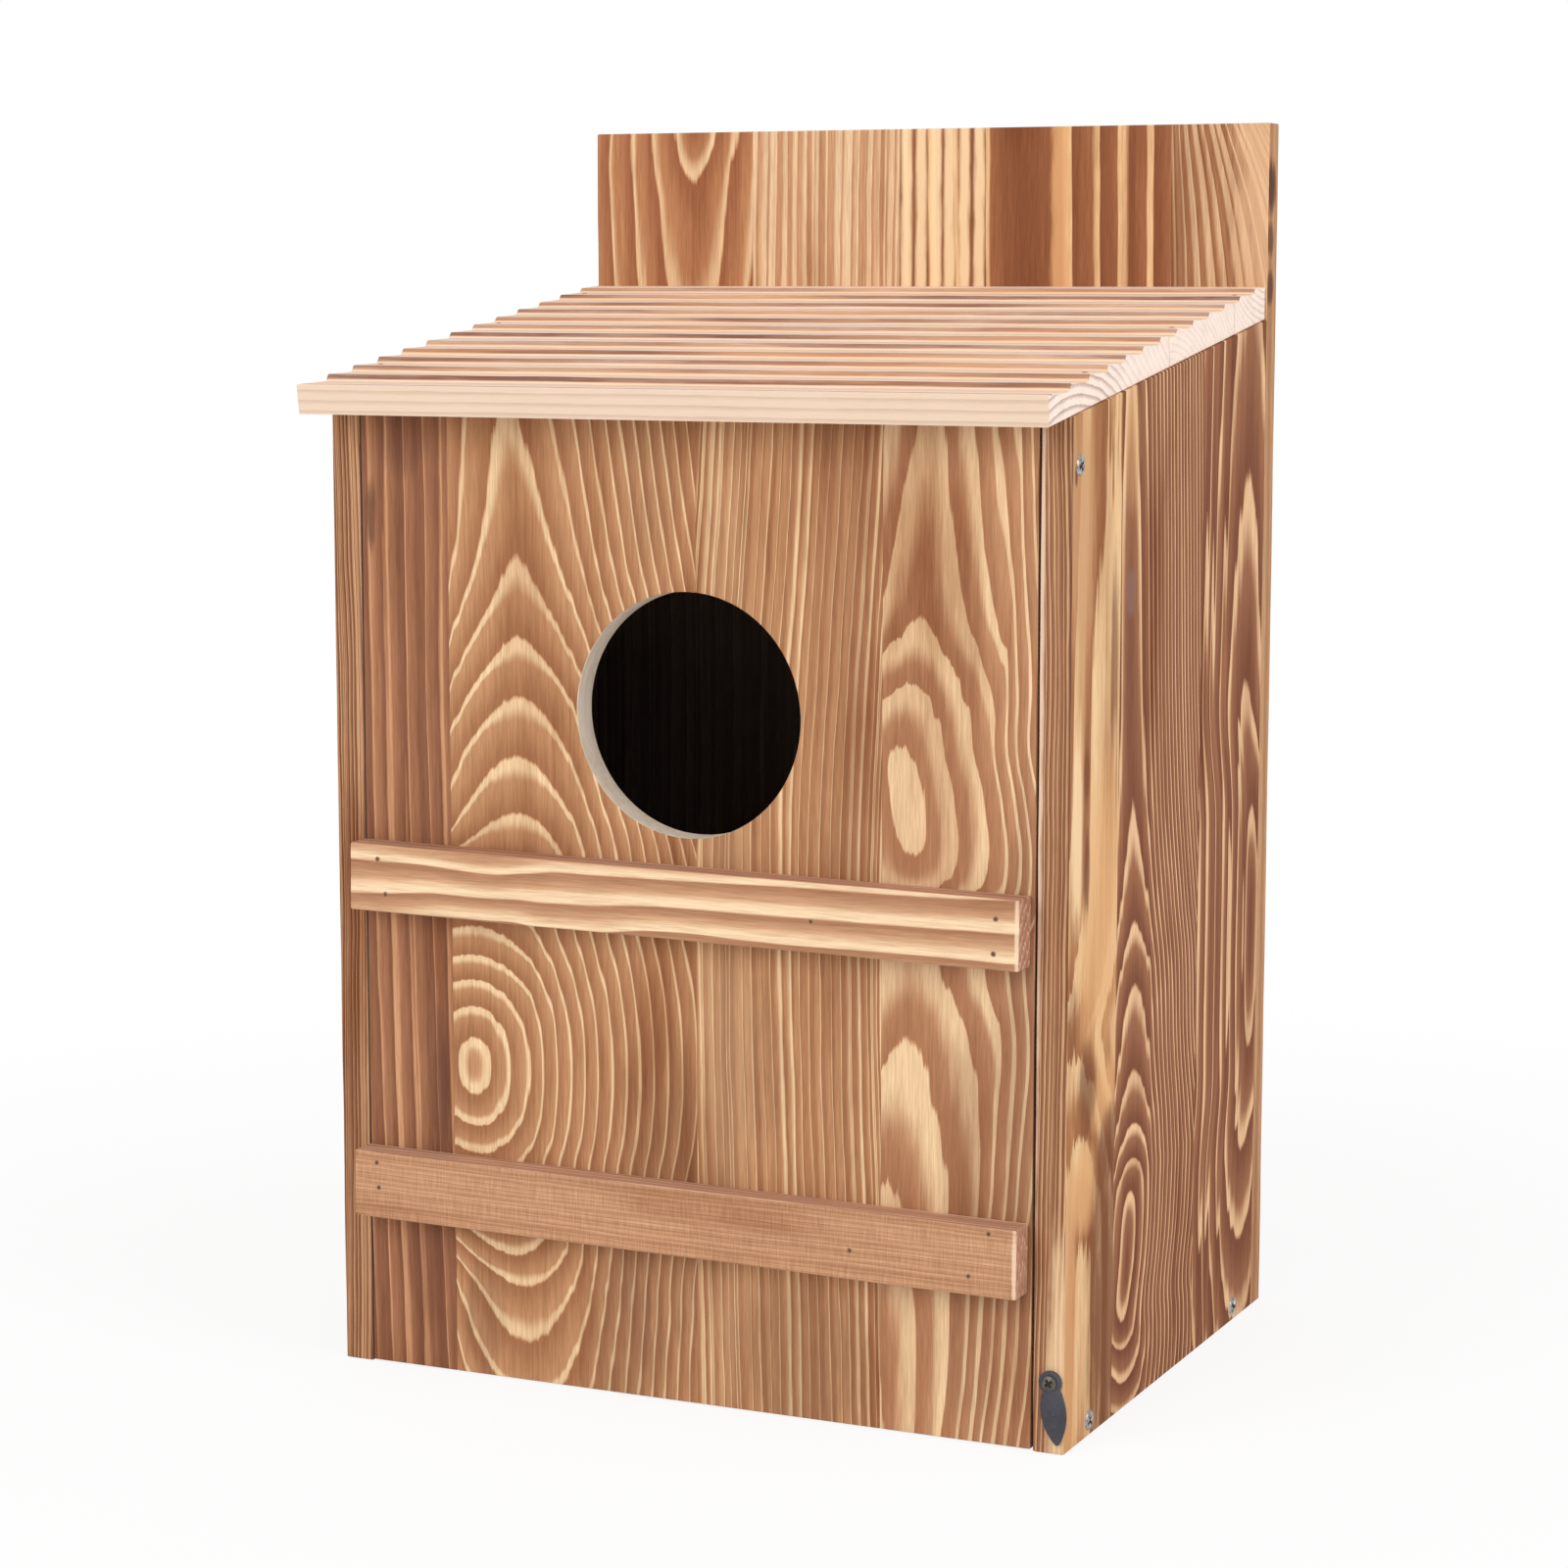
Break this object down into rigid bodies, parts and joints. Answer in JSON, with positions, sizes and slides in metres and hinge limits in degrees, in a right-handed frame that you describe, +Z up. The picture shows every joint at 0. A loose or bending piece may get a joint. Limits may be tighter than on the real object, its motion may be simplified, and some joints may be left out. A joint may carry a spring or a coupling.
{
  "type": "bird nest box",
  "caption": "Tall nest box of torched softwood boards with a stepped lean-to roof, a round entrance in a front door that swings up on pivot screws, and a turn button that keeps it shut.",
  "frame": {"origin": "middle of the foot of the whole box, on the surface that it stands on", "axes": "+X to the right seen from the front, +Y from the door towards the back board, +Z up"},
  "size_m": [0.2519, 0.2126, 0.401],
  "materials": {
    "torched_wood": "edge-glued softwood, scorched with a torch and brushed so that the hard rings stand pale",
    "roof_wood": "softwood moulded in steps, scorched on the crests, raw at the ends and front edge",
    "batten_wood": "planed softwood batten, lightly scorched",
    "zinc_steel": "zinc-plated countersunk screws",
    "brad_steel": "dull dark steel brads",
    "black_steel": "matt black coating"
  },
  "bodies": {
    "carcase": {"left_side_front_stave": "torched_wood", "left_side_middle_stave": "torched_wood", "left_side_rear_stave": "torched_wood", "right_side_front_stave": "torched_wood", "right_side_middle_stave": "torched_wood", "right_side_rear_stave": "torched_wood", "back_left_stave": "torched_wood", "back_middle_left_stave": "torched_wood", "back_middle_right_stave": "torched_wood", "back_right_stave": "torched_wood", "floor_front_stave": "torched_wood", "floor_middle_stave": "torched_wood", "floor_rear_stave": "torched_wood", "roof_front_stave": "roof_wood", "roof_middle_stave": "roof_wood", "roof_rear_stave": "roof_wood", "floor_screws": "zinc_steel", "back_screws": "zinc_steel", "roof_brads": "brad_steel", "turn_button_screw": "black_steel"},
    "front_door": {"door_left_stave": "torched_wood", "door_hole_left_stave": "torched_wood", "door_hole_right_stave": "torched_wood", "door_right_stave": "torched_wood", "upper_batten": "batten_wood", "lower_batten": "batten_wood", "upper_batten_brads": "brad_steel", "lower_batten_brads": "brad_steel", "door_pivot_screws": "zinc_steel"},
    "turn_button": {"turn_button": "black_steel"}
  },
  "joints": [
    {"name": "door_swing", "type": "hinge", "parent": "carcase", "child": "front_door", "pos_m": [0, -0.08125, 0.2965], "axis": [-1, 0, 0], "range_deg": [0, 102]},
    {"name": "turn_button_spin", "type": "hinge", "parent": "carcase", "child": "turn_button", "pos_m": [0.1208, -0.08675, 0.0223], "axis": [0, 1, 0], "continuous": true}
  ]
}
